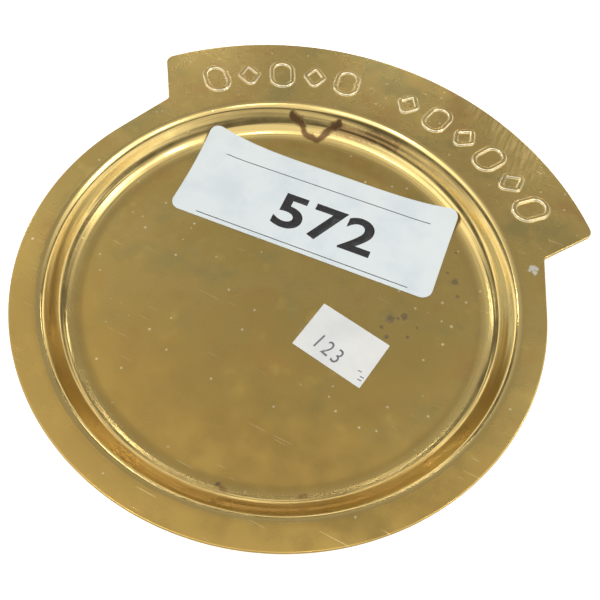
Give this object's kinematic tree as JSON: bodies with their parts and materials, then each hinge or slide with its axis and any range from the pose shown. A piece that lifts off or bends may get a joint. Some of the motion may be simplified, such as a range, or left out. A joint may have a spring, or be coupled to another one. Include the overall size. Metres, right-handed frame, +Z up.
{
  "type": "coin tray",
  "caption": "Shallow round brass coin tray with a flat rim and a wide tab with raised marks at the back; two small paper labels lie in the dish.",
  "frame": {"origin": "centre of the flat round underside of the dish, on the surface that the tray stands on", "axes": "+Z up, +Y from the centre of the dish towards the middle of the tab, +X to the right"},
  "size_m": [0.1526, 0.173, 0.0108],
  "materials": {
    "brass": "aged, rubbed to a soft shine",
    "label_paper": "smooth white label stock",
    "sticker_paper": "matt white label stock"
  },
  "bodies": {
    "root": {"tray": "brass", "lot_label": "label_paper", "price_label": "sticker_paper"}
  },
  "joints": []
}
